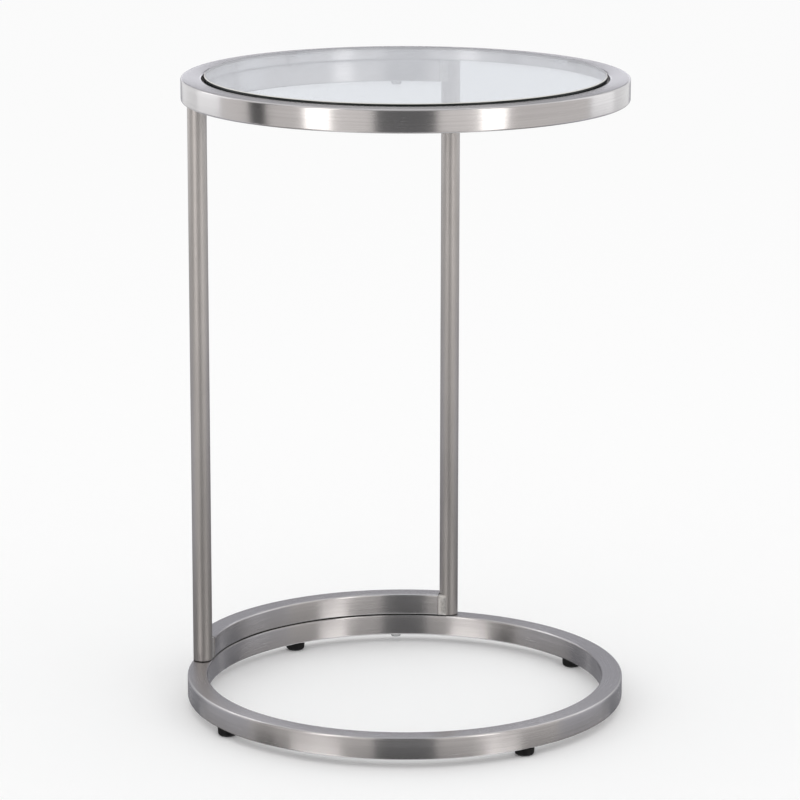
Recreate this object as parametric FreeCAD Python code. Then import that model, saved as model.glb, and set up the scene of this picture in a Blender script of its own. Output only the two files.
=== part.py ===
import FreeCAD, Part
import math
import os

# C shaped side table of brushed steel tube with an inset glass top.
# Millimetres, +Z up. The origin is on the floor under the centre of the base ring, and +Y is the
# closed back of the C. Azimuths are in degrees from +Y, positive towards +X.

# ---- Driving sizes --------------------------------------------------------------------------

# Bent tube of both rings and both arcs
ring_diameter = 430.0        # outside of the rings
tube_width = 20.0            # along the ring's radius
tube_height = 22.0
tube_wall = 1.2
tube_corner = 2.0            # outside corner radius

# Round posts
post_diameter = 19.0
post_wall = 1.2
post_length = 571.0
post_azimuth = 46.5

# Glass disc and what it rests on
glass_thickness = 12.0
glass_proud = 2.2            # height of the glass above the top ring
glass_gap = 2.5              # between the glass edge and the ring
glass_arris = 0.8            # bevel along the polished edge
tab_width = 22.0
tab_reach = 15.0             # from the ring's inner wall
tab_height = 9.0
tab_thickness = 2.0
tab_corner = 4.0             # rounding of the shelf's free corners
pad_diameter = 8.5
pad_height = 1.5

# Feet, pushed into the base ring
foot_height = 8.0
foot_inset = 0.3             # of a foot inside the tube's sides
foot_rounding = 3.4          # between flank and sole
rounding_steps = 2
stem_diameter = 8.0
stem_length = 6.0

# Bolted joints between rings and arcs
bolt_azimuth = 31.0
bolt_diameter = 6.0
bolt_length = 32.0
bolt_hole_diameter = 6.6
head_diameter = 10.5
head_height = 3.0
socket_width = 4.0           # across the flats
socket_depth = 2.0
washer_diameter = 13.5
washer_thickness = 1.0
insert_diameter = 9.0
insert_length = 12.0

# Welds and clearances
weld_root = 0.3              # between an arc's cut end and the post
weld_sink = 0.8              # of a bead below the tube's wall
weld_stop = 0.3              # bead ends this share of the post radius short of its centre line
weld_end_inset = 0.5         # of a bead inside the arc's height
seat_gap = 0.2               # between curved faces that meet
fit_gap = 0.1                # on the radius, of stems and inserts in their holes
thread_gap = 0.15            # on the radius, between bolt and insert

# ---- Places worked out from them --------------------------------------------------------------

ring_radius = ring_diameter / 2
centre_radius = ring_radius - tube_width / 2
inner_radius = ring_radius - tube_width
post_radius = post_diameter / 2

base_bottom = foot_height
base_top = base_bottom + tube_height
ring_bottom = base_top + post_length
ring_top = ring_bottom + tube_height
upper_arc_bottom = ring_bottom - tube_height

glass_top = ring_top + glass_proud
glass_bottom = glass_top - glass_thickness
tab_top = glass_bottom - pad_height

post_reach = math.degrees(math.asin((post_radius + weld_root) / centre_radius))
arc_azimuth = post_azimuth - post_reach      # where an arc's square-cut end stands

SIDES = {"left": -1, "right": 1}
QUARTERS = {"back": 0, "right": 90, "front": 180, "left": 270}

ORIGIN = FreeCAD.Vector(0, 0, 0)
UP = FreeCAD.Vector(0, 0, 1)


def at_azimuth(shape, azimuth):
    """Turn a shape built on the +X axis to its azimuth."""
    turned = shape.copy()
    turned.rotate(ORIGIN, UP, QUARTERS["right"] - azimuth)
    return turned


def each_quarter(solid):
    """Four copies of a solid, a quarter turn apart."""
    return Part.makeCompound([at_azimuth(solid, azimuth) for azimuth in QUARTERS.values()])


def upright(radius, bottom, height, at_radius=0.0):
    """Cylinder standing on the +X axis."""
    return Part.makeCylinder(radius, height, FreeCAD.Vector(at_radius, 0, bottom), UP)


def outline_face(outline):
    """Face in the XZ plane from (x, z) points."""
    points = [FreeCAD.Vector(x, 0, z) for x, z in outline]
    return Part.Face(Part.makePolygon(points + points[:1]))


def lathe(profile):
    """Solid of revolution from (radius, height) points, stood on the tube's centre line."""
    solid = outline_face(profile).revolve(ORIGIN, UP, 360)
    solid.translate(FreeCAD.Vector(centre_radius, 0, 0))
    return solid


def rounded(centre_x, centre_z, radius, start, turn, steps):
    """Points of a rounding about a centre, from a start angle through a turn, in degrees."""
    angles = [math.radians(start + turn * k / steps) for k in range(steps + 1)]
    return [(centre_x + radius * math.cos(a), centre_z + radius * math.sin(a)) for a in angles]


def tube_section(middle):
    """Outline across the tube, each corner bevelled by as much metal as its radius takes off."""
    bevel = tube_corner * math.sqrt(2 - math.pi / 2)
    across = tube_width / 2 - bevel
    up = tube_height / 2 - bevel
    corners = [(across, -up, -90), (across, up, 0), (-across, up, 90), (-across, -up, 180)]
    outline = []
    for x, z, start in corners:
        outline += rounded(centre_radius + x, middle + z, bevel, start, 90, 1)
    return outline


def bore_section(middle):
    """Outline of the tube's hollow."""
    across = tube_width / 2 - tube_wall
    up = tube_height / 2 - tube_wall
    return [(centre_radius + x * across, middle + z * up)
            for x, z in ((-1, -1), (1, -1), (1, 1), (-1, 1))]


def bent_tube(bottom, azimuth_from=-180.0, azimuth_to=180.0):
    """Hollow tube bent round the Z axis between two azimuths."""
    middle = bottom + tube_height / 2
    wall = outline_face(tube_section(middle)).cut(outline_face(bore_section(middle))).Faces[0]
    tube = wall.revolve(ORIGIN, UP, azimuth_to - azimuth_from)
    return at_azimuth(tube, azimuth_to)


# ---- Frame ------------------------------------------------------------------------------------

def both_sides(solid):
    """A solid at both bolt azimuths."""
    return [at_azimuth(solid, side * bolt_azimuth) for side in SIDES.values()]


def bolt_holes(bottom):
    """Clearance holes right through a tube that stands at this height."""
    depth = tube_height + 2 * tube_wall
    return both_sides(upright(bolt_hole_diameter / 2, bottom - tube_wall, depth, centre_radius))


def wall_hole(diameter, bottom):
    """Cutter for a hole in the bottom wall only of a tube that stands at this height."""
    return upright(diameter / 2, bottom - tube_wall, 2 * tube_wall + fit_gap, centre_radius)


def top_ring():
    """Closed ring round the glass; the bolts of the upper arc screw into its bottom wall."""
    return bent_tube(ring_bottom).cut(both_sides(wall_hole(insert_diameter, ring_bottom)))


def upper_arc():
    """Quarter-circle length of the same tube between the posts, hung under the top ring."""
    return bent_tube(upper_arc_bottom, -arc_azimuth, arc_azimuth).cut(bolt_holes(upper_arc_bottom))


def lower_arc():
    """Its twin on the base ring, with the threaded inserts in its bottom wall."""
    tube = bent_tube(base_top, -arc_azimuth, arc_azimuth)
    return tube.cut(both_sides(wall_hole(insert_diameter, base_top)))


def base_ring():
    """Closed ring on the floor side, drilled for the bolts and the feet."""
    stem_holes = each_quarter(wall_hole(stem_diameter, base_bottom))
    return bent_tube(base_bottom).cut(bolt_holes(base_bottom) + stem_holes.Solids)


def post(side):
    """Round tube from the base ring's top face to the top ring's bottom face."""
    tube = upright(post_radius, base_top, post_length, centre_radius)
    bore = upright(post_radius - post_wall, base_top, post_length, centre_radius)
    return at_azimuth(tube.cut(bore), side * post_azimuth)


def weld_beads(bottom, side):
    """Two upright beads that fill the wedges between an arc's cut end and the round post."""
    height = tube_height - 2 * weld_end_inset
    low = bottom + weld_end_inset
    stop = math.degrees(math.asin(post_radius * weld_stop / centre_radius))
    sweep = post_reach - stop
    web = post_radius / 2
    post_space = at_azimuth(upright(post_radius + seat_gap, low, height, centre_radius), post_azimuth)
    beads = []
    for near, far in ((inner_radius + weld_sink, centre_radius - web),
                      (centre_radius + web, ring_radius - weld_sink)):
        block = Part.makeCylinder(far, height, FreeCAD.Vector(0, 0, low), UP, sweep)
        block = block.cut(upright(near, low, height))
        beads += at_azimuth(block, arc_azimuth + sweep).cut(post_space).Solids
    pair = Part.makeCompound(beads)
    if side < 0:
        pair = pair.mirror(ORIGIN, FreeCAD.Vector(1, 0, 0))
    return pair


# ---- Glass and its supports -------------------------------------------------------------------

def glass_disc():
    """Clear disc with a flat polished edge, both its corners bevelled."""
    radius = inner_radius - glass_gap
    profile = [
        (0, glass_bottom), (radius - glass_arris, glass_bottom),
        (radius, glass_bottom + glass_arris), (radius, glass_top - glass_arris),
        (radius - glass_arris, glass_top), (0, glass_top),
    ]
    return outline_face(profile).revolve(ORIGIN, UP, 360)


def glass_tab(azimuth):
    """Steel angle welded to the top ring's inner wall: a shelf under the glass and a leg."""
    inner_end = inner_radius - tab_reach
    shelf_bottom = tab_top - tab_thickness
    shelf = Part.makeBox(tab_reach, tab_width, tab_thickness,
                         FreeCAD.Vector(inner_end, -tab_width / 2, shelf_bottom))
    free_corners = [edge for edge in shelf.Edges
                    if abs(edge.BoundBox.ZLength - tab_thickness) < seat_gap
                    and edge.BoundBox.XMax < inner_end + seat_gap]
    shelf = shelf.makeFillet(tab_corner, free_corners)
    leg_bottom = tab_top - tab_height
    leg_face = inner_radius - seat_gap - tab_thickness
    leg = Part.makeBox(tab_reach, tab_width, tab_height - tab_thickness,
                       FreeCAD.Vector(leg_face, -tab_width / 2, leg_bottom))
    wall_face = upright(inner_radius - seat_gap, leg_bottom, tab_height)
    return at_azimuth(shelf.fuse(leg).common(wall_face), azimuth)


def glass_pads():
    """Clear soft pads between the tabs and the glass."""
    middle = inner_radius - (tab_reach + glass_gap) / 2
    return each_quarter(upright(pad_diameter / 2, tab_top, pad_height, middle))


# ---- Feet -------------------------------------------------------------------------------------

def feet():
    """Domed feet, each in one piece with the stem that plugs into the tube."""
    flank = tube_width / 2 - foot_inset
    sole = flank - foot_rounding
    stem = stem_diameter / 2 - fit_gap
    stem_top = base_bottom + stem_length
    profile = [(0, 0)] + rounded(sole, foot_rounding, foot_rounding, -90, 90, rounding_steps)
    profile += [(flank, base_bottom), (stem, base_bottom), (stem, stem_top), (0, stem_top)]
    return each_quarter(lathe(profile))


# ---- Bolted joints ------------------------------------------------------------------------------

def bolts(seam):
    """Socket-head bolts that pass up through the lower tube of a seam into the upper one."""
    under_head = seam - tube_height - washer_thickness
    head_bottom = under_head - head_height
    head = upright(head_diameter / 2, head_bottom, head_height, centre_radius)
    shank = upright(bolt_diameter / 2, under_head, bolt_length, centre_radius)
    corners = rounded(centre_radius, 0, socket_width / math.sqrt(3), 0, 360, 6)
    socket = Part.Face(Part.makePolygon([FreeCAD.Vector(x, y, head_bottom) for x, y in corners]))
    bolt = head.fuse(shank).cut(socket.extrude(UP * socket_depth))
    return Part.makeCompound(both_sides(bolt))


def bush(diameter, bore, bottom, height):
    """Plain turned sleeve on the tube's centre line."""
    sleeve = upright(diameter / 2, bottom, height, centre_radius)
    return sleeve.cut(upright(bore / 2, bottom, height, centre_radius))


def washers(seam):
    """Flat washers between the bolt heads and the tube."""
    bottom = seam - tube_height - washer_thickness
    washer = bush(washer_diameter, bolt_hole_diameter, bottom, washer_thickness)
    return Part.makeCompound(both_sides(washer))


def inserts(seam):
    """Threaded inserts pressed into the bottom wall of the tube above a seam."""
    barrel = insert_diameter - 2 * fit_gap
    insert = bush(barrel, bolt_diameter + 2 * thread_gap, seam, insert_length)
    return Part.makeCompound(both_sides(insert))


# ---- Assembly -------------------------------------------------------------------------------------

def build():
    nodes = {
        "top_ring": top_ring(),
        "upper_arc": upper_arc(),
        "lower_arc": lower_arc(),
        "base_ring": base_ring(),
        "glass_top": glass_disc(),
        "glass_pads": glass_pads(),
        "feet": feet(),
    }
    for level, seam, arc_bottom in (("upper", ring_bottom, upper_arc_bottom),
                                    ("lower", base_top, base_top)):
        nodes[level + "_bolts"] = bolts(seam)
        nodes[level + "_washers"] = washers(seam)
        nodes[level + "_inserts"] = inserts(seam)
        for name, side in SIDES.items():
            nodes["weld_" + level + "_" + name] = weld_beads(arc_bottom, side)
    for name, side in SIDES.items():
        nodes["post_" + name] = post(side)
    for name, azimuth in QUARTERS.items():
        nodes["glass_tab_" + name] = glass_tab(azimuth)
    return nodes


os.makedirs("parts", exist_ok=True)
for node, shape in build().items():
    shape.exportStep("parts/" + node + ".step")
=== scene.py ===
import math

import bmesh
import bpy
from mathutils import Matrix, Vector


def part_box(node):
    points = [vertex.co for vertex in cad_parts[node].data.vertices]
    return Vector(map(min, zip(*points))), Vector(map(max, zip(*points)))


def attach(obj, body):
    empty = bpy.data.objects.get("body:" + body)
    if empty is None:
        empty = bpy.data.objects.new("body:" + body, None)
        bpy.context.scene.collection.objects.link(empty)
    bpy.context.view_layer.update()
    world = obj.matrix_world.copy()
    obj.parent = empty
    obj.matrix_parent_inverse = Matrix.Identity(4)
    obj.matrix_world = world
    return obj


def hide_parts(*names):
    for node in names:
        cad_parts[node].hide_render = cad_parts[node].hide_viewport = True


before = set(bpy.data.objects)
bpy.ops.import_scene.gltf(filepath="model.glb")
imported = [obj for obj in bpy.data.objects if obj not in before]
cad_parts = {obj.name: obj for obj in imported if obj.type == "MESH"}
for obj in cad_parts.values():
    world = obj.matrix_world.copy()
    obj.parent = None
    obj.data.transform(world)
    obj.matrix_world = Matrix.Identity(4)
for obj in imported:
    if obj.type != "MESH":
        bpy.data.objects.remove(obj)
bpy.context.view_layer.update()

# Side table of bent brushed tube with an inset glass top. Metres, +Z up; +Y is the closed back.
# Azimuths are in degrees from +Y, positive towards +X.


# ---- Base ring --------------------------------------------------------------------------------
# The closed ring that carries the table: rectangular stainless tube with rounded corners, bent
# to a circle, butt-welded, and brushed all the way round so that the grain follows the bend.

LOWER_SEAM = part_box("base_ring")[1].z        # height at which the lower arc lies on the base ring
UPPER_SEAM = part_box("top_ring")[0].z         # and the upper arc under the top ring
TUBE_WIDTH = 0.020
TUBE_HEIGHT = LOWER_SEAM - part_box("base_ring")[0].z
TUBE_CORNER = 0.0021
CORNER_POINTS = 8
RING_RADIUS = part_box("base_ring")[1].x
CENTRE_RADIUS = RING_RADIUS - TUBE_WIDTH / 2
INNER_RADIUS = RING_RADIUS - TUBE_WIDTH
RING_STEPS = 384
SHARP_ANGLE = math.radians(38)
RING_LIGHT = (0.583, 0.571, 0.578, 1)
RING_DARK = (0.530, 0.518, 0.524, 1)
# Painted shade, with some grime, darkens the steel in a thin band along each seam between two
# tubes.
SEAM_SHADE_AND_GRIME = (0.090, 0.085, 0.082, 1)
SEAM_SHADE_START = 0.0015                         # distance from a seam at which its painted shade and grime begin
SEAM_SHADE_FULL = 0.0004
LINES_PER_METRE = 2600.0                     # of the brushing, across the grain
WAVES_ALONG_RING = 5.0                       # of the brushing, along the grain of a ring
SCRATCH_DEPTH = 0.00012
ARC_COSINE = 0.69                            # of the azimuth at which the arcs end


def node(tree, kind, inputs=None, **settings):
    """Adds a node, sets its properties, and links or fills its inputs by name or number."""
    made = tree.nodes.new(kind)
    for key, value in settings.items():
        setattr(made, key, value)
    for key, value in (inputs or {}).items():
        if isinstance(value, bpy.types.NodeSocket):
            tree.links.new(value, made.inputs[key])
        else:
            made.inputs[key].default_value = value
    return made


def sums(tree, operation, *values):
    """Output of a Math node."""
    return node(tree, "ShaderNodeMath", dict(enumerate(values)), operation=operation).outputs[0]


def empty_tree(name, kind, inputs, outputs):
    """Node group with named sockets, each given as (name, socket type, value)."""
    tree = bpy.data.node_groups.new(name, kind)
    for label, socket, value in inputs:
        made = tree.interface.new_socket(label, in_out="INPUT", socket_type=socket)
        if value is not None:
            made.default_value = value
    for label, socket in outputs:
        tree.interface.new_socket(label, in_out="OUTPUT", socket_type=socket)
    return tree, tree.nodes.new("NodeGroupInput").outputs, tree.nodes.new("NodeGroupOutput").inputs


def bent_tube_tree():
    """Rounded rectangular tube swept round the Z axis, closed or with square-cut ends."""
    tree, given, result = empty_tree("bent_tube", "GeometryNodeTree", [
        ("Centre Radius", "NodeSocketFloat", 0.2), ("Width", "NodeSocketFloat", 0.02),
        ("Height", "NodeSocketFloat", 0.02), ("Corner Radius", "NodeSocketFloat", 0.002),
        ("Bottom", "NodeSocketFloat", 0.0), ("Closed", "NodeSocketBool", True),
        ("First Angle", "NodeSocketFloat", 0.0), ("Sweep", "NodeSocketFloat", 1.5),
        ("Steps", "NodeSocketInt", 360), ("Material", "NodeSocketMaterial", None),
    ], [("Geometry", "NodeSocketGeometry")])
    circle = node(tree, "GeometryNodeCurvePrimitiveCircle", {
        "Resolution": given["Steps"], "Radius": given["Centre Radius"]})
    arc = node(tree, "GeometryNodeCurveArc", {
        "Resolution": given["Steps"], "Radius": given["Centre Radius"],
        "Start Angle": given["First Angle"], "Sweep Angle": given["Sweep"]})
    path = node(tree, "GeometryNodeSwitch", {
        "Switch": given["Closed"], "False": arc.outputs["Curve"], "True": circle.outputs["Curve"],
    }, input_type="GEOMETRY")
    path = node(tree, "GeometryNodeSetCurveNormal", {"Curve": path.outputs[0]}, mode="Z_UP")
    section = node(tree, "GeometryNodeCurvePrimitiveQuadrilateral", {
        "Width": given["Width"], "Height": given["Height"]})
    section = node(tree, "GeometryNodeFilletCurve", {
        "Curve": section.outputs[0], "Radius": given["Corner Radius"], "Count": CORNER_POINTS,
    }, mode="POLY")
    tube = node(tree, "GeometryNodeCurveToMesh", {
        "Curve": path.outputs[0], "Profile Curve": section.outputs[0], "Fill Caps": True})
    middle = sums(tree, "MULTIPLY_ADD", given["Height"], 0.5, given["Bottom"])
    lift = node(tree, "ShaderNodeCombineXYZ", {"Z": middle})
    tube = node(tree, "GeometryNodeTransform", {
        "Geometry": tube.outputs[0], "Translation": lift.outputs[0]})
    tube = node(tree, "GeometryNodeRealizeInstances", {"Geometry": tube.outputs[0]})
    tube = node(tree, "GeometryNodeSetMaterial", {
        "Geometry": tube.outputs[0], "Material": given["Material"]})
    tree.links.new(tube.outputs[0], result["Geometry"])
    return tree


def grown(tree, sizes, start=None):
    """Plain mesh that a Geometry Nodes tree makes from these sizes."""
    seed = bpy.data.objects.new("seed", start or bpy.data.meshes.new("seed"))
    bpy.context.collection.objects.link(seed)
    modifier = seed.modifiers.new("shape", "NODES")
    modifier.node_group = tree
    for socket in tree.interface.items_tree:
        if socket.in_out == "INPUT" and socket.name in sizes:
            modifier[socket.identifier] = sizes[socket.name]
    evaluated = seed.evaluated_get(bpy.context.evaluated_depsgraph_get())
    mesh = bpy.data.meshes.new_from_object(evaluated)
    bpy.data.objects.remove(seed)
    return mesh


def as_piece(name, mesh, nodes, body="frame"):
    """Puts a finished mesh in the scene in place of its CAD nodes, on its body."""
    mesh.shade_smooth()
    mesh.set_sharp_from_angle(angle=SHARP_ANGLE)
    piece = bpy.data.objects.new(name, mesh)
    bpy.context.collection.objects.link(piece)
    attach(piece, body)
    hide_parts(*nodes)


def noise(tree, place, scale, detail, roughness=0.5, distortion=0.0, fourth=None):
    """Value of a noise texture, which has four dimensions where a fourth is given."""
    inputs = {"Vector": place, "Scale": scale, "Detail": detail, "Roughness": roughness,
              "Distortion": distortion}
    if fourth is None:
        return node(tree, "ShaderNodeTexNoise", inputs).outputs[0]
    inputs["W"] = fourth
    return node(tree, "ShaderNodeTexNoise", inputs, noise_dimensions="4D").outputs[0]


def ranged(tree, value, start=0.0, end=1.0, low=0.0, high=1.0):
    """Value that goes from low to high while the given one goes from start to end."""
    return node(tree, "ShaderNodeMapRange", {
        "Value": value, "From Min": start, "From Max": end, "To Min": low, "To Max": high,
    }).outputs[0]


def mixed(tree, share, first, second):
    """Colour that goes from the first to the second with its share."""
    return node(tree, "ShaderNodeMix", {
        "Factor": share, "A": first, "B": second}, data_type="RGBA").outputs["Result"]


def weighed(tree, share, first, second):
    """Mean of two values, with this share of the first."""
    return sums(tree, "MULTIPLY_ADD", first, share, sums(tree, "MULTIPLY", second, 1 - share))


def brushing_group():
    """Brushed metal from coordinates that are stretched along the grain: fine scratches, broader
    streaks, clouds that don't follow the grain, and painted shade with some grime close to the
    seams' heights, where the seam input lets it show."""
    tree, given, result = empty_tree("brushing", "ShaderNodeTree", [
        ("Vector", "NodeSocketVector", None), ("W", "NodeSocketFloat", 0.0),
        ("Place", "NodeSocketVector", None), ("Light", "NodeSocketColor", None),
        ("Dark", "NodeSocketColor", None), ("Roughness", "NodeSocketFloat", 0.22),
        ("Seam", "NodeSocketFloat", 1.0),
    ], [("Color", "NodeSocketColor"), ("Roughness", "NodeSocketFloat"),
        ("Height", "NodeSocketFloat")])
    fine = noise(tree, given["Vector"], scale=1.0, detail=2.0, roughness=0.6, fourth=given["W"])
    streaks = noise(tree, given["Vector"], scale=0.25, detail=1.0, roughness=0.6,
                    fourth=given["W"])
    clouds = noise(tree, given["Place"], scale=16.0, detail=3.0, roughness=0.55)
    tone = ranged(tree, weighed(tree, 0.55, streaks, clouds), start=0.36, end=0.64)
    colour = mixed(tree, tone, given["Dark"], given["Light"])
    rough = ranged(tree, weighed(tree, 0.6, fine, clouds), start=0.3, end=0.7,
                   low=given["Roughness"], high=sums(tree, "ADD", given["Roughness"], 0.06))
    level = node(tree, "ShaderNodeSeparateXYZ", {"Vector": given["Place"]}).outputs["Z"]
    away = [sums(tree, "ABSOLUTE", sums(tree, "SUBTRACT", level, seam))
            for seam in (LOWER_SEAM, UPPER_SEAM)]
    seam_shade_and_grime = ranged(tree, sums(tree, "MINIMUM", *away), start=SEAM_SHADE_START, end=SEAM_SHADE_FULL,
                   high=given["Seam"])
    # Painted seam shade, with some grime: the steel darkens within about 1.5 mm of each seam's
    # height.
    tree.links.new(mixed(tree, seam_shade_and_grime, colour, SEAM_SHADE_AND_GRIME), result["Color"])
    tree.links.new(rough, result["Roughness"])
    tree.links.new(weighed(tree, 0.7, fine, streaks), result["Height"])
    return tree


def new_material(name):
    """Material with its tree and its Principled shader."""
    material = bpy.data.materials.new(name)
    material.use_nodes = True
    return material, material.node_tree, material.node_tree.nodes["Principled BSDF"]


def object_place(tree):
    """Object coordinates."""
    return node(tree, "ShaderNodeTexCoord").outputs["Object"]


def finish_surface(tree, shader, colour, rough, height=None, relief=0.0, depth=0.0001):
    """Gives a shader its colour and roughness, and its relief where there is a height."""
    tree.links.new(colour, shader.inputs["Base Color"])
    tree.links.new(rough, shader.inputs["Roughness"])
    if height is not None:
        bump = node(tree, "ShaderNodeBump", {
            "Height": height, "Strength": relief, "Distance": depth})
        tree.links.new(bump.outputs[0], shader.inputs["Normal"])


def brushed_steel(name, light, dark, roughness, anisotropy, relief, grain):
    """Satin stainless. From Object coordinates, its grain function gives the stretched ones, their
    fourth dimension, the direction along the scratches, and where a seam may show painted shade
    and grime."""
    material, tree, shader = new_material(name)
    place = object_place(tree)
    stretched, fourth, along, seam = grain(tree, place)
    brushed = node(tree, "ShaderNodeGroup", {
        "Vector": stretched, "W": fourth, "Place": place, "Seam": seam,
        "Light": light, "Dark": dark, "Roughness": roughness}, node_tree=BRUSHING).outputs
    finish_surface(tree, shader, brushed["Color"], brushed["Roughness"], brushed["Height"],
                   relief, SCRATCH_DEPTH)
    tree.links.new(along, shader.inputs["Tangent"])
    shader.inputs["Metallic"].default_value = 1.0
    shader.inputs["Anisotropic"].default_value = anisotropy
    shader.inputs["Anisotropic Rotation"].default_value = 0.25
    return material


def grain_round_the_ring(tree, place):
    """Scratches at a constant radius and height; painted seam shade and grime show only where the
    arcs lie.
    """
    part = node(tree, "ShaderNodeSeparateXYZ", {"Vector": place}).outputs
    flat = node(tree, "ShaderNodeCombineXYZ", {"X": part["X"], "Y": part["Y"]}).outputs[0]
    radius = node(tree, "ShaderNodeVectorMath", {0: flat}, operation="LENGTH").outputs["Value"]
    heading = node(tree, "ShaderNodeVectorMath", {0: flat}, operation="NORMALIZE").outputs[0]
    heading = node(tree, "ShaderNodeSeparateXYZ", {"Vector": heading}).outputs
    stretched = node(tree, "ShaderNodeCombineXYZ", {
        "X": sums(tree, "MULTIPLY", radius, LINES_PER_METRE),
        "Y": sums(tree, "MULTIPLY", part["Z"], LINES_PER_METRE),
        "Z": sums(tree, "MULTIPLY", heading["X"], WAVES_ALONG_RING)})
    fourth = sums(tree, "MULTIPLY", heading["Y"], WAVES_ALONG_RING)
    along = node(tree, "ShaderNodeVectorMath", {0: flat, 1: (0, 0, 1)},
                 operation="CROSS_PRODUCT")
    # Painted seam shade and grime only at the back, where the arcs lie on the rings.
    at_the_back = sums(tree, "GREATER_THAN", heading["Y"], ARC_COSINE)
    return stretched.outputs[0], fourth, along.outputs[0], at_the_back


BENT_TUBE = bent_tube_tree()
BRUSHING = brushing_group()
RING_STEEL = brushed_steel("ring_steel", RING_LIGHT, RING_DARK, roughness=0.222, anisotropy=0.90,
                           relief=0.039, grain=grain_round_the_ring)
TUBE_SIZES = {
    "Centre Radius": CENTRE_RADIUS, "Width": TUBE_WIDTH, "Height": TUBE_HEIGHT,
    "Corner Radius": TUBE_CORNER, "Material": RING_STEEL,
}


def ring(name):
    """Closed ring of tube in the place of a CAD node."""
    sizes = dict(TUBE_SIZES, Bottom=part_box(name)[0].z, Closed=True, Steps=RING_STEPS)
    as_piece("tube_" + name, grown(BENT_TUBE, sizes), [name])


ring("base_ring")


# ---- Feet -------------------------------------------------------------------------------------
# Four black rubber domes under the base ring, each moulded with a stem that plugs into the tube.
# They are matt, a little dusty, and wide where they meet the steel.

FOOT_RADIUS = 0.0097
FOOT_ROUNDING = 0.0032
FOOT_TAPER = 0.0003                          # on the radius, from the lip down to the rounding
FOOT_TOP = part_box("base_ring")[0].z
STEM_RADIUS = 0.0039
RUBBER = (0.004, 0.004, 0.0045, 1)
RUBBER_DUST = (0.012, 0.0115, 0.011, 1)


def quarter_turn(centre_r, centre_z, radius, start, steps):
    """Quarter circle of (radius, height) points, from a start angle in degrees."""
    angles = [math.radians(start + 90 * k / steps) for k in range(steps + 1)]
    return [(centre_r + radius * math.cos(a), centre_z + radius * math.sin(a)) for a in angles]


def lathed(profile, middle, segments):
    """Surface turned about an upright axis from (radius, height) points that run from low to high
    outside; a profile that starts and ends off the axis closes on itself."""
    made = bmesh.new()
    rows = []
    for radius, height in profile:
        count = segments if radius > 0 else 1
        turns = [2 * math.pi * k / count for k in range(count)]
        rows.append([made.verts.new((middle[0] + radius * math.cos(t),
                                     middle[1] + radius * math.sin(t), height)) for t in turns])
    pairs = list(zip(rows, rows[1:]))
    if profile[0][0] > 0 and profile[-1][0] > 0:
        pairs.append((rows[-1], rows[0]))
    for low, high in pairs:
        for k in range(segments):
            corners = [low[k % len(low)], low[(k + 1) % len(low)],
                       high[(k + 1) % len(high)], high[k % len(high)]]
            corners = list(dict.fromkeys(corners))
            if len(corners) > 2:
                made.faces.new(corners)
    return made


def as_mesh(name, made):
    """Mesh from a closed surface, its faces turned outwards."""
    bmesh.ops.recalc_face_normals(made, faces=made.faces)
    mesh = bpy.data.meshes.new(name)
    made.to_mesh(mesh)
    made.free()
    return mesh


def round_the_ring_tree():
    """Copies of one piece, set round the table's axis at even turns."""
    tree, given, result = empty_tree("round_the_ring", "GeometryNodeTree", [
        ("Geometry", "NodeSocketGeometry", None), ("Count", "NodeSocketInt", 4),
        ("First Azimuth", "NodeSocketFloat", 0.0), ("Step", "NodeSocketFloat", 90.0),
        ("Material", "NodeSocketMaterial", None),
    ], [("Geometry", "NodeSocketGeometry")])
    places = node(tree, "GeometryNodeMeshLine", {"Count": given["Count"], "Offset": (0, 0, 0)})
    number = node(tree, "GeometryNodeInputIndex").outputs[0]
    azimuth = sums(tree, "MULTIPLY_ADD", number, given["Step"], given["First Azimuth"])
    turn = node(tree, "ShaderNodeCombineXYZ", {
        "Z": sums(tree, "MULTIPLY", sums(tree, "RADIANS", azimuth), -1.0)})
    turn = node(tree, "FunctionNodeEulerToRotation", {0: turn.outputs[0]})
    copies = node(tree, "GeometryNodeInstanceOnPoints", {
        "Points": places.outputs[0], "Instance": given["Geometry"], "Rotation": turn.outputs[0]})
    copies = node(tree, "GeometryNodeRealizeInstances", {"Geometry": copies.outputs[0]})
    copies = node(tree, "GeometryNodeSetMaterial", {
        "Geometry": copies.outputs[0], "Material": given["Material"]})
    tree.links.new(copies.outputs[0], result["Geometry"])
    return tree


def black_rubber():
    """Moulded rubber with a fine matt skin, paler where dust has settled."""
    material, tree, shader = new_material("foot_rubber")
    place = object_place(tree)
    skin = noise(tree, place, scale=2400.0, detail=3.0)
    dust = noise(tree, place, scale=260.0, detail=4.0, roughness=0.65)
    colour = mixed(tree, ranged(tree, dust, start=0.45, end=0.8), RUBBER, RUBBER_DUST)
    rough = ranged(tree, dust, low=0.42, high=0.7)
    finish_surface(tree, shader, colour, rough, skin, relief=0.3, depth=0.00008)
    shader.inputs["Specular IOR Level"].default_value = 0.2
    return material


def foot_mesh():
    """One foot on the back azimuth: sole, domed side, lip, flat top and stem."""
    stem_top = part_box("feet")[1].z
    sole = FOOT_RADIUS - FOOT_ROUNDING - FOOT_TAPER
    profile = [(0.0, 0.0), (sole / 2, 0.0)]
    profile += quarter_turn(sole, FOOT_ROUNDING, FOOT_ROUNDING, -90, 10)
    lip = [(0.0001, 0.0005), (0.0, 0.0002), (0.0002, 0.0)]
    profile += [(FOOT_RADIUS - inward, FOOT_TOP - down) for inward, down in lip]
    profile += [(STEM_RADIUS, FOOT_TOP), (STEM_RADIUS, stem_top), (0.0, stem_top)]
    return as_mesh("foot", lathed(profile, (0.0, CENTRE_RADIUS), 64))


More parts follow.
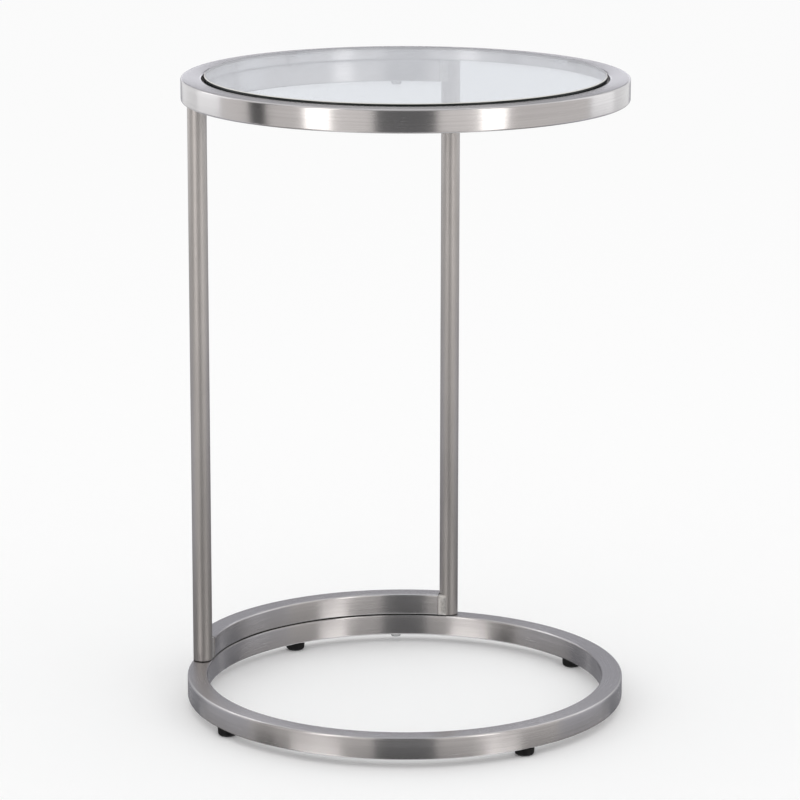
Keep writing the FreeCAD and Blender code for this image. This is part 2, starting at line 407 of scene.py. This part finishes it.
ROUND_THE_RING = round_the_ring_tree()
QUARTERS = {"Count": 4, "First Azimuth": 0.0, "Step": 90.0}
feet = grown(ROUND_THE_RING, dict(QUARTERS, Material=black_rubber()), foot_mesh())
as_piece("rubber_feet", feet, ["feet"])


# ---- Lower and upper arcs ---------------------------------------------------------------------
# Two quarter-circle lengths of the same tube between the posts. One lies on the base ring, the
# other hangs under the top ring; their square-cut ends are welded to the posts.

POST_RADIUS = 0.0095
POST_MIDDLE = (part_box("post_right")[0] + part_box("post_right")[1]) / 2
POST_AZIMUTH = math.degrees(math.atan2(POST_MIDDLE.x, POST_MIDDLE.y))
WELD_ROOT = 0.0003                           # between an arc's cut end and the post
POST_REACH = math.degrees(math.asin((POST_RADIUS + WELD_ROOT) / CENTRE_RADIUS))
ARC_AZIMUTH = POST_AZIMUTH - POST_REACH
ARC_STEPS = 96


def arc(name):
    """Length of tube between the posts in the place of a CAD node."""
    sizes = dict(TUBE_SIZES, Bottom=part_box(name)[0].z, Closed=False, Steps=ARC_STEPS)
    sizes["First Angle"] = math.radians(90 - ARC_AZIMUTH)
    sizes["Sweep"] = math.radians(2 * ARC_AZIMUTH)
    as_piece("tube_" + name, grown(BENT_TUBE, sizes), [name])


arc("lower_arc")
arc("upper_arc")


# ---- Posts ------------------------------------------------------------------------------------
# Two round stainless tubes that stand on the base ring and carry the top ring. They are brushed
# lengthwise and stay a little warmer; both ends are eased, which leaves a dark seam that painted
# shade with some grime darkens further.

POST_EASE = 0.0006
EASE_STEPS = 3
POST_WAVES_PER_METRE = 14.0                  # of the brushing, along the grain
POST_LIGHT = (0.485, 0.468, 0.462, 1)
POST_DARK = (0.425, 0.408, 0.402, 1)


def grain_upright(tree, place):
    """Scratches that run up and down; both ends stand on a seam, where painted shade and grime
    darken them.
    """
    density = (LINES_PER_METRE, LINES_PER_METRE, POST_WAVES_PER_METRE)
    stretched = node(tree, "ShaderNodeVectorMath", {0: place, 1: density}, operation="MULTIPLY")
    upright = node(tree, "ShaderNodeCombineXYZ", {"Z": 1.0})
    # The last value lets painted seam shade and grime show at both ends.
    return stretched.outputs[0], 0.0, upright.outputs[0], 1.0


def eased_side(radius, low, high, ease):
    """Outside of a turned piece between two heights, both its edges rounded."""
    edge = radius - ease
    return (quarter_turn(edge, low + ease, ease, -90, EASE_STEPS)
            + quarter_turn(edge, high - ease, ease, 0, EASE_STEPS))


def post(side):
    """One post, its ends eased."""
    low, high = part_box("post_" + side)
    middle = (low + high) / 2
    profile = [(0.0, low.z)] + eased_side(POST_RADIUS, low.z, high.z, POST_EASE) + [(0.0, high.z)]
    mesh = as_mesh("post", lathed(profile, (middle.x, middle.y), 128))
    mesh.materials.append(POST_STEEL)
    as_piece("round_post_" + side, mesh, ["post_" + side])


POST_STEEL = brushed_steel("post_steel", POST_LIGHT, POST_DARK, roughness=0.40, anisotropy=0.45,
                           relief=0.06, grain=grain_upright)
post("left")
post("right")


# ---- Welds ------------------------------------------------------------------------------------
# Upright beads that fill the wedges between an arc's cut end and the round post, inside and
# outside the ring. They are dressed lightly, so they stay paler and duller than the tube.

BEAD_STEPS = 44
BEAD_SINK = 0.0005                           # of a bead's edge below the tube's wall
BEAD_BOW = 0.0004                            # of its face, outwards
BEAD_DIP = 0.0006                            # of its face at both ends, inwards
BEAD_TAPER = 0.2                             # share of its length over which an end falls away
BEAD_TOE = math.radians(4)                   # where the face meets the post
BEAD_GAP = 0.0001                            # between bead and post
CUT_GAP = math.radians(0.1)                  # between bead and cut end, about the table's axis
FACE_STEPS = 8
BACK_STEPS = 5
BACK_TURN = math.radians(11)                 # about the post, for each step of the back
RIPPLE = 0.00006
RIPPLES = 11
WELD_PALE = (0.68, 0.67, 0.66, 1)
WELD_DULL = (0.52, 0.51, 0.50, 1)


def bead_outline(outward, swell):
    """Plan of a bead about the right post: (outwards, towards the arc) points, metres. The face
    bows by swell; the back follows the post and the arc's cut end."""
    def on_post(turn):
        return Vector((outward * math.cos(turn), math.sin(turn))) * (POST_RADIUS + BEAD_GAP)

    def on_cut(radius):
        reach = math.radians(POST_REACH) - CUT_GAP
        return Vector((radius * math.cos(reach) - CENTRE_RADIUS, radius * math.sin(reach)))

    tube_edge = on_cut(CENTRE_RADIUS + outward * (TUBE_WIDTH / 2 - BEAD_SINK))
    face = []
    for k in range(FACE_STEPS + 1):
        share = k / FACE_STEPS
        bow = outward * swell * math.sin(math.pi * share)
        face.append(tube_edge.lerp(on_post(BEAD_TOE), share) + Vector((bow, 0)))
    back = [on_post(BEAD_TOE + BACK_TURN * k) for k in range(1, BACK_STEPS + 1)]
    return face + back + [on_cut(CENTRE_RADIUS + outward * POST_RADIUS / 2)]


def weld_beads(level, side):
    """Inner and outer bead of one arc end, swept upwards with the ripples of the weld pool."""
    low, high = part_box("weld_%s_%s" % (level, side))
    mirror = -1 if side == "left" else 1
    azimuth = math.radians(POST_AZIMUTH)
    outwards = Vector((math.sin(azimuth), math.cos(azimuth)))
    along = Vector((-math.cos(azimuth), math.sin(azimuth)))
    made = bmesh.new()
    for outward in (-1, 1):
        rows = []
        for step in range(BEAD_STEPS + 1):
            share = step / BEAD_STEPS
            end = min(1.0, min(share, 1 - share) / BEAD_TAPER)
            swell = BEAD_BOW * math.sqrt(end) - BEAD_DIP * (1 - end) ** 2
            swell += RIPPLE * math.cos(2 * math.pi * RIPPLES * share)
            height = low.z + (high.z - low.z) * share
            row = []
            for out, forward in bead_outline(outward, swell):
                spot = POST_MIDDLE.xy + outwards * out + along * forward
                row.append(made.verts.new((mirror * spot.x, spot.y, height)))
            rows.append(row)
        for lower, upper in zip(rows, rows[1:]):
            for k in range(len(lower)):
                following = (k + 1) % len(lower)
                made.faces.new((lower[k], lower[following], upper[following], upper[k]))
        made.faces.new(rows[0])
        made.faces.new(rows[-1])
    mesh = as_mesh("beads", made)
    mesh.materials.append(WELD_METAL)
    as_piece("beads_%s_%s" % (level, side), mesh, ["weld_%s_%s" % (level, side)])


def weld_metal():
    """Pale dressed weld with fine pits and duller patches."""
    material, tree, shader = new_material("weld_metal_dressed")
    place = object_place(tree)
    patches = noise(tree, place, scale=330.0, detail=4.0, roughness=0.6)
    pits = noise(tree, place, scale=1700.0, detail=3.0)
    colour = mixed(tree, ranged(tree, patches, start=0.4, end=0.62), WELD_PALE, WELD_DULL)
    rough = ranged(tree, pits, low=0.38, high=0.55)
    finish_surface(tree, shader, colour, rough, pits, relief=0.2, depth=0.00012)
    shader.inputs["Metallic"].default_value = 1.0
    return material


WELD_METAL = weld_metal()
for level in ("lower", "upper"):
    for side in ("left", "right"):
        weld_beads(level, side)


# ---- Top ring ---------------------------------------------------------------------------------
# The twin of the base ring, laid on the posts and the upper arc. It frames the glass, and its
# inner wall carries the tabs that the glass rests on.

ring("top_ring")


# ---- Bolts, washers and inserts ---------------------------------------------------------------
# Zinc-plated M6 bolts with a round head and a hexagon socket come up through a flat washer and
# the lower tube of each seam, and screw into threaded inserts in the tube above, out of sight.

BOLT_AZIMUTH = 31.0
HEAD_RADIUS = 0.00525
HEAD_FLAT = HEAD_RADIUS * 0.62               # radius at which the dome ends
HEAD_RIM = 0.0008                            # height of the head's upright rim
SHANK_RADIUS = 0.003
SHANK_TIP = 0.0006
SOCKET_ACROSS = 0.004
SOCKET_DEPTH = 0.002
WASHER_RADIUS = 0.00675
WASHER_BORE = 0.0033
WASHER_EASE = 0.0003
FASTENER_SEGMENTS = 48
ZINC = (0.60, 0.61, 0.63, 1)
ZINC_DULL = (0.44, 0.45, 0.46, 1)


def zinc_plate():
    """Bright zinc with the dull bloom that it takes in time."""
    material, tree, shader = new_material("zinc_plate")
    place = object_place(tree)
    bloom = noise(tree, place, scale=420.0, detail=4.0, roughness=0.6)
    speck = node(tree, "ShaderNodeTexVoronoi", {"Vector": place, "Scale": 1500.0}).outputs[0]
    colour = mixed(tree, ranged(tree, bloom, start=0.4, end=0.66), ZINC, ZINC_DULL)
    rough = ranged(tree, bloom, low=0.2, high=0.46)
    finish_surface(tree, shader, colour, rough, speck, relief=0.12, depth=0.0001)
    shader.inputs["Metallic"].default_value = 1.0
    return material


def bolt_mesh(level):
    """One bolt on the back azimuth: domed head with a hexagon socket, and its shank."""
    low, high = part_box(level + "_bolts")
    under_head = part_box(level + "_washers")[0].z
    rim_bottom = under_head - HEAD_RIM
    profile = [(HEAD_FLAT + (HEAD_RADIUS - HEAD_FLAT) * math.cos(a),
                rim_bottom - (rim_bottom - low.z) * math.sin(a))
               for a in (math.radians(15 * k) for k in range(6, -1, -1))]
    profile += [(HEAD_RADIUS, under_head), (SHANK_RADIUS, under_head),
                (SHANK_RADIUS, high.z - SHANK_TIP), (SHANK_RADIUS - SHANK_TIP, high.z),
                (0.0, high.z)]
    made = lathed(profile, (0.0, CENTRE_RADIUS), FASTENER_SEGMENTS)

    def turn_of(vert):
        return math.atan2(vert.co.y - CENTRE_RADIUS, vert.co.x)

    rim = sorted((v for v in made.verts if abs(v.co.z - low.z) < 1e-7), key=turn_of)
    hexagons = []
    for height in (low.z, low.z + SOCKET_DEPTH):
        loop = []
        for turn in map(turn_of, rim):
            off_corner = abs((turn + math.pi / 6) % (math.pi / 3) - math.pi / 6)
            radius = SOCKET_ACROSS / 2 / math.cos(off_corner - math.pi / 6)
            loop.append(made.verts.new((radius * math.cos(turn),
                                        CENTRE_RADIUS + radius * math.sin(turn), height)))
        hexagons.append(loop)
    mouth, bottom = hexagons
    for outer, inner in ((rim, mouth), (mouth, bottom)):
        for k in range(len(rim)):
            following = (k + 1) % len(rim)
            made.faces.new((outer[k], outer[following], inner[following], inner[k]))
    made.faces.new(bottom)
    return as_mesh("bolt", made)


def washer_mesh(level):
    """One flat washer on the back azimuth, stamped, with eased edges."""
    low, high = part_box(level + "_washers")
    profile = [(WASHER_BORE, low.z)] + eased_side(WASHER_RADIUS, low.z, high.z, WASHER_EASE)
    profile.append((WASHER_BORE, high.z))
    return as_mesh("washer", lathed(profile, (0.0, CENTRE_RADIUS), FASTENER_SEGMENTS))


ZINC_PLATE = zinc_plate()
BOLT_PLACES = {
    "Count": 2, "First Azimuth": -BOLT_AZIMUTH, "Step": 2 * BOLT_AZIMUTH, "Material": ZINC_PLATE,
}
for level in ("lower", "upper"):
    bolts = grown(ROUND_THE_RING, BOLT_PLACES, bolt_mesh(level))
    as_piece("socket_bolts_" + level, bolts, [level + "_bolts"])
    washers = grown(ROUND_THE_RING, BOLT_PLACES, washer_mesh(level))
    as_piece("flat_washers_" + level, washers, [level + "_washers"])
    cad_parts[level + "_inserts"].data.materials[0] = ZINC_PLATE


# ---- Tabs and pads ----------------------------------------------------------------------------
# Four small steel angles welded to the inner wall of the top ring, each with a clear soft pad on
# its shelf. The glass lies on the pads.

TAB_WIDTH = 0.022
TAB_REACH = 0.015
TAB_THICKNESS = 0.002
TAB_CORNER = 0.004
TAB_EDGE = 0.0003
TAB_GAP = 0.0003                             # between the tab and the ring's wall
TAB_WALL = INNER_RADIUS - TAB_GAP
PAD_RADIUS = 0.00425
PAD_EASE = 0.0007
PAD_GAP = 0.0001                             # between the pad and the glass
PAD_MIDDLE = (INNER_RADIUS - TAB_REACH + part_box("glass_top")[1].x) / 2


def tab_mesh():
    """One tab on the back azimuth: shelf with rounded free corners on an upright leg."""
    low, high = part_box("glass_tab_back")
    half = TAB_WIDTH / 2
    free = INNER_RADIUS - TAB_REACH
    shelf_bottom = high.z - TAB_THICKNESS
    shelf = [(half, TAB_WALL), (-half, TAB_WALL)]
    for sign, start in ((-1, 180), (1, 270)):
        shelf += [(sign * (half - TAB_CORNER) + x, y)
                  for x, y in quarter_turn(0.0, free + TAB_CORNER, TAB_CORNER, start, 8)]
    leg = [(half, TAB_WALL), (-half, TAB_WALL),
           (-half, TAB_WALL - TAB_THICKNESS), (half, TAB_WALL - TAB_THICKNESS)]
    made = bmesh.new()
    for plan, bottom, top in ((shelf, shelf_bottom, high.z), (leg, low.z, shelf_bottom)):
        corners = []
        for x, y in plan:
            if y > free + TAB_REACH / 2:
                y += math.sqrt(TAB_WALL ** 2 - x ** 2) - TAB_WALL
            corners.append(made.verts.new((x, y, bottom)))
        plate = made.faces.new(corners)
        raised = bmesh.ops.extrude_face_region(made, geom=[plate])
        lifted = [v for v in raised["geom"] if isinstance(v, bmesh.types.BMVert)]
        bmesh.ops.translate(made, verts=lifted, vec=(0, 0, top - bottom))
    rims = [e for e in made.edges if abs(e.verts[0].co.z - e.verts[1].co.z) < 1e-6]
    bmesh.ops.bevel(made, geom=rims, offset=TAB_EDGE, segments=2, profile=0.5, affect="EDGES")
    return as_mesh("tab", made)


def milky_pad_with_painted_highlight():
    """Soft plastic painted near white: partly its milky colour, partly a painted highlight."""
    material, tree, shader = new_material("pad_plastic")
    milk = noise(tree, object_place(tree), scale=700.0, detail=2.0)
    # Near-white colour: milky plastic, lightened further as a painted highlight on the pads.
    colour = mixed(tree, milk, (0.86, 0.88, 0.88, 1), (0.95, 0.96, 0.96, 1))
    rough = ranged(tree, milk, low=0.2, high=0.4)
    finish_surface(tree, shader, colour, rough, milk, relief=0.2, depth=0.0001)
    shader.inputs["Transmission Weight"].default_value = 0.2
    shader.inputs["IOR"].default_value = 1.45
    return material


def pad_mesh():
    """One pad on the back azimuth, its top edge rounded and a hair below the glass."""
    low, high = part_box("glass_pads")
    top = high.z - PAD_GAP
    profile = [(0.0, low.z), (PAD_RADIUS, low.z)]
    profile += quarter_turn(PAD_RADIUS - PAD_EASE, top - PAD_EASE, PAD_EASE, 0, 5)
    profile.append((0.0, top))
    return as_mesh("pad", lathed(profile, (0.0, PAD_MIDDLE), FASTENER_SEGMENTS))


tabs = grown(ROUND_THE_RING, dict(QUARTERS, Material=RING_STEEL), tab_mesh())
tab_nodes = ["glass_tab_" + place for place in ("back", "right", "front", "left")]
as_piece("steel_tabs", tabs, tab_nodes)
pads = grown(ROUND_THE_RING, dict(QUARTERS, Material=milky_pad_with_painted_highlight()), pad_mesh())
as_piece("soft_pads", pads, ["glass_pads"])


# ---- Glass top --------------------------------------------------------------------------------
# A disc of clear float glass with a flat polished edge, bevelled top and bottom. Seen from the
# side the edge is nearly black green, because the light in it has come right across the disc.

GLASS_ARRIS = 0.0006
GLASS_SEGMENTS = 384
GLASS_IOR = 1.52


def clear_glass():
    """Clear float glass, polished, with faint wipe marks."""
    material, tree, shader = new_material("float_glass")
    wipes = noise(tree, object_place(tree), scale=9.0, detail=3.0, distortion=1.2)
    tint = mixed(tree, wipes, (0.77, 0.815, 0.845, 1), (0.81, 0.85, 0.875, 1))
    rough = ranged(tree, wipes, start=0.5, end=0.8, low=0.0, high=0.03)
    finish_surface(tree, shader, tint, rough)
    shader.inputs["Transmission Weight"].default_value = 1.0
    shader.inputs["IOR"].default_value = GLASS_IOR
    return material


def glass_edge():
    """Ground and polished edge, nearly black green."""
    material, tree, shader = new_material("glass_edge")
    depth = noise(tree, object_place(tree), scale=40.0, detail=2.0)
    colour = mixed(tree, depth, (0.002, 0.004, 0.004, 1), (0.006, 0.013, 0.012, 1))
    finish_surface(tree, shader, colour, ranged(tree, depth, low=0.05, high=0.16))
    shader.inputs["IOR"].default_value = GLASS_IOR
    return material


def glass_arris_painted_highlight():
    """Arris with a painted highlight: pale and slightly warm, with fine grit."""
    material, tree, shader = new_material("glass_arris_painted_highlight")
    grit = noise(tree, object_place(tree), scale=900.0, detail=3.0)
    # Pale cream colour: a painted highlight along the arris.
    colour = mixed(tree, grit, (0.55, 0.54, 0.50, 1), (0.82, 0.80, 0.75, 1))
    finish_surface(tree, shader, colour, ranged(tree, grit, low=0.2, high=0.4))
    return material


def glass_disc():
    """The disc: clear faces, a black-green edge between two arrises painted pale as a highlight."""
    low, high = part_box("glass_top")
    inset = high.x - GLASS_ARRIS
    profile = [(0.0, low.z), (inset, low.z), (high.x, low.z + GLASS_ARRIS),
               (high.x, high.z - GLASS_ARRIS), (inset, high.z), (0.0, high.z)]
    mesh = as_mesh("disc", lathed(profile, (0.0, 0.0), GLASS_SEGMENTS))
    clear, edge, arris = range(3)
    for material in (clear_glass(), glass_edge(), glass_arris_painted_highlight()):
        mesh.materials.append(material)
    for face in mesh.polygons:
        slope = abs(face.normal.z)
        face.material_index = clear if slope > 0.9 else arris if slope > 0.1 else edge
    return mesh


as_piece("glass_disc", glass_disc(), ["glass_top"], "glass")


# ---- Studio -----------------------------------------------------------------------------------
# Pale floor, white surroundings, and soft light from above and from two tall panels in front.
# Boards, dark flags and cards stand round the table; only polished metal and glass mirror them.

VIEW_AZIMUTH = 33.66
VIEW_ELEVATION = 13.096
VIEW_DISTANCE = 3.633
VIEW_HEIGHT = 0.305                          # of the point on the table's axis that it is aimed at
VIEW_ROLL = 0.08
VIEW_LENS = 167.69
VIEW_SHIFT = -0.0065
FLOOR_REACH = 30.0
AMBIENT = 0.98
TABLE_MIDDLE = Vector((0, 0, 0.35))
WARM = (1.0, 0.965, 0.93)
COOL = (0.97, 0.97, 1.03)
WARM_REACH = 78                              # degrees from the camera at which boards turn cool
BOARD_DISTANCE = 0.95
FLAG_DISTANCE = 0.94                         # so that a flag stands before the boards
BELOW, LOW, MIDDLE, HIGH, ABOVE = -1.2, -0.28, -0.17, 0.2, 1.6    # heights where tiers meet
FAR_MIDDLE = -0.12                           # MIDDLE on the far side
FAR_HIGH = 0.42                              # where the far boards over HIGH meet
BACK_START, BACK_END = 150, 210


def compass(azimuth, distance, height):
    """Point at an azimuth from the table's axis."""
    turn = math.radians(azimuth)
    return Vector((distance * math.sin(turn), distance * math.cos(turn), height))


def to_the_right(angle):
    """Azimuth of a direction this many degrees to the right of the camera, from the table."""
    return VIEW_AZIMUTH + 180 - angle


def camera():
    """Camera with a long lens, aimed at the table's axis."""
    lens = bpy.data.cameras.new("view")
    lens.sensor_width = 36.0
    lens.lens = VIEW_LENS
    lens.shift_x = VIEW_SHIFT
    lens.clip_end = 2 * FLOOR_REACH
    viewer = bpy.data.objects.new("view", lens)
    rise = math.radians(VIEW_ELEVATION)
    spot = compass(to_the_right(0), VIEW_DISTANCE * math.cos(rise),
                   VIEW_HEIGHT + VIEW_DISTANCE * math.sin(rise))
    aim = (Matrix.Rotation(-math.radians(VIEW_AZIMUTH), 4, "Z")
           @ Matrix.Rotation(math.radians(90) - rise, 4, "X")
           @ Matrix.Rotation(math.radians(VIEW_ROLL), 4, "Z"))
    viewer.matrix_world = Matrix.Translation(spot) @ aim
    bpy.context.collection.objects.link(viewer)
    bpy.context.scene.camera = viewer


def floor():
    """Plain pale floor."""
    mesh = bpy.data.meshes.new("floor")
    corners = [(x * FLOOR_REACH, y * FLOOR_REACH, 0)
               for x, y in ((-1, -1), (1, -1), (1, 1), (-1, 1))]
    mesh.from_pydata(corners, [], [(0, 1, 2, 3)])
    material, _, shader = new_material("pale_floor")
    shader.inputs["Base Color"].default_value = (0.98, 0.98, 0.98, 1)
    shader.inputs["Roughness"].default_value = 1.0
    shader.inputs["Specular IOR Level"].default_value = 0.0
    mesh.materials.append(material)
    sheet = bpy.data.objects.new("floor", mesh)
    sheet.visible_glossy = False
    bpy.context.collection.objects.link(sheet)


def surroundings():
    """White as seen by the eye, in metal and through glass; a softer level for the light."""
    world = bpy.data.worlds.new("studio")
    bpy.context.scene.world = world
    world.use_nodes = True
    tree = world.node_tree
    tree.nodes.clear()
    path = node(tree, "ShaderNodeLightPath").outputs
    seen = sums(tree, "MAXIMUM", path["Is Camera Ray"], path["Is Glossy Ray"])
    seen = sums(tree, "MAXIMUM", seen, path["Is Transmission Ray"])
    light = node(tree, "ShaderNodeBackground", {
        "Color": (1, 1, 1, 1), "Strength": ranged(tree, seen, low=AMBIENT)})
    node(tree, "ShaderNodeOutputWorld", {"Surface": light.outputs[0]})


def softbox(name, spot, width, height, brightness):
    """Area lamp, turned to the table, that shows as a panel of this brightness."""
    lamp = bpy.data.lights.new(name, "AREA")
    lamp.shape = "RECTANGLE"
    lamp.size = width
    lamp.size_y = height
    lamp.energy = brightness * math.pi * width * height
    holder = bpy.data.objects.new(name, lamp)
    holder.location = spot
    holder.rotation_euler = (TABLE_MIDDLE - spot).to_track_quat("-Z", "Y").to_euler()
    bpy.context.collection.objects.link(holder)


def board(name, corners, brightness, tint=(1, 1, 1)):
    """Flat board of even brightness, which only polished surfaces see."""
    mesh = bpy.data.meshes.new(name)
    mesh.from_pydata(corners, [], [tuple(range(len(corners)))])
    material = bpy.data.materials.new(name)
    material.use_nodes = True
    tree = material.node_tree
    tree.nodes.clear()
    light = node(tree, "ShaderNodeEmission", {"Color": (*tint, 1), "Strength": brightness})
    node(tree, "ShaderNodeOutputMaterial", {"Surface": light.outputs[0]})
    mesh.materials.append(material)
    sheet = bpy.data.objects.new(name, mesh)
    sheet.visible_camera = False
    sheet.visible_diffuse = False
    sheet.visible_transmission = False
    sheet.visible_shadow = False
    bpy.context.collection.objects.link(sheet)


def upright_board(name, start, end, bottom, top, brightness, tint=(1, 1, 1),
                  distance=BOARD_DISTANCE):
    """Board that stands round the table between two directions from the camera's."""
    reach = distance / math.cos(math.radians((end - start) / 2))
    feet = [compass(to_the_right(angle), reach, bottom) for angle in (start, end)]
    heads = [compass(to_the_right(angle), reach, top) for angle in (end, start)]
    board(name, feet + heads, brightness, tint)


def leaning_card(name, start, end, low_edge, high_edge, brightness):
    """Card that leans in over the table; each edge is given as (distance, height)."""
    low = [compass(to_the_right(angle), *low_edge) for angle in (start, end)]
    high = [compass(to_the_right(angle), *high_edge) for angle in (end, start)]
    board(name, low + high, brightness)


camera()
floor()
surroundings()
softbox("overhead", Vector((0, 0, 2.6)), width=2.4, height=2.4, brightness=0.08)
for side in (-1, 1):
    softbox("front_softbox", compass(to_the_right(42 * side), 2.6, 1.2),
            width=0.40, height=1.6, brightness=0.6)
    inner, outer = (31, 57) if side < 0 else (40, 58)
    # The lower a tier stands, the lower on the table it is mirrored. Its boards are given as
    # (start, end, brightness), in degrees from the camera's direction to this side.
    for bottom, top, boards in (
            (HIGH, ABOVE, [(14, 34, 0.95), (34, 46.5, 2.7), (46.5, 98, 0.80)]),
            (MIDDLE, HIGH, [(14, 34, 0.85), (34, 50, 1.0), (50, 78, 0.88), (78, 115, 0.75)]),
            (FAR_MIDDLE, HIGH, [(115, 150, 0.5)]),
            (LOW, MIDDLE, [(14, 24, 0.30), (24, 32, 0.34), (32, 44, 0.40 + 0.15 * side),
                           (44, 60, 0.15), (60, 78, 0.22), (78, 115, 0.30)]),
            (LOW, FAR_MIDDLE, [(115, 150, 0.28)]),
            (BELOW, LOW, [(14, inner, 0.36), (inner, outer, 1.6), (outer, 128, 0.34),
                          (128, 150, 0.16)])):
        for start, end, brightness in boards:
            upright_board("board", side * start, side * end, bottom, top, brightness,
                          WARM if start < WARM_REACH else COOL)
    upright_board("board_far", side * 98, side * 120, FAR_HIGH, ABOVE, 1.4)
    upright_board("board_far_low", side * 98, side * 150, HIGH, FAR_HIGH, 0.65)
upright_board("flag_front", -14, 14, HIGH, ABOVE, 0.16)
upright_board("flag_front_middle", -14, 14, MIDDLE, HIGH, 0.36)
for name, start, end, bottom, top, brightness in (
        ("flag_front_low", -18, 18, LOW, MIDDLE, 0.06),
        ("flag_front_lowest", -15, 19, BELOW, LOW, 0.05),
        ("flag_side", -77, -67, HIGH, ABOVE, 0.05),
        ("flag_side_low", -77, -65, BELOW, MIDDLE, 0.02)):
    upright_board(name, start, end, bottom, top, brightness, distance=FLAG_DISTANCE)
for name, bottom, top, brightness in (
        ("board_back_low", BELOW, -0.1, 0.26),
        ("flag_back", -0.1, 0.66, 0.46),
        ("card_back_low", 0.66, 0.71, 1.9),
        ("card_back", 0.71, 0.83, 0.80),
        ("flag_back_high", 0.83, 1.3, 0.35)):
    upright_board(name, BACK_START, BACK_END, bottom, top, brightness, COOL, FLAG_DISTANCE)
leaning_card("card_above", -45, 75, (1.5, 1.2), (0.6, 2.0), 0.6)
leaning_card("card_left", -150, -45, (1.5, 1.2), (0.6, 2.0), 1.0)
leaning_card("card_glint", -130, -92, (1.48, 1.15), (1.2, 1.42), 3.5)
bpy.context.scene.view_settings.view_transform = "Standard"
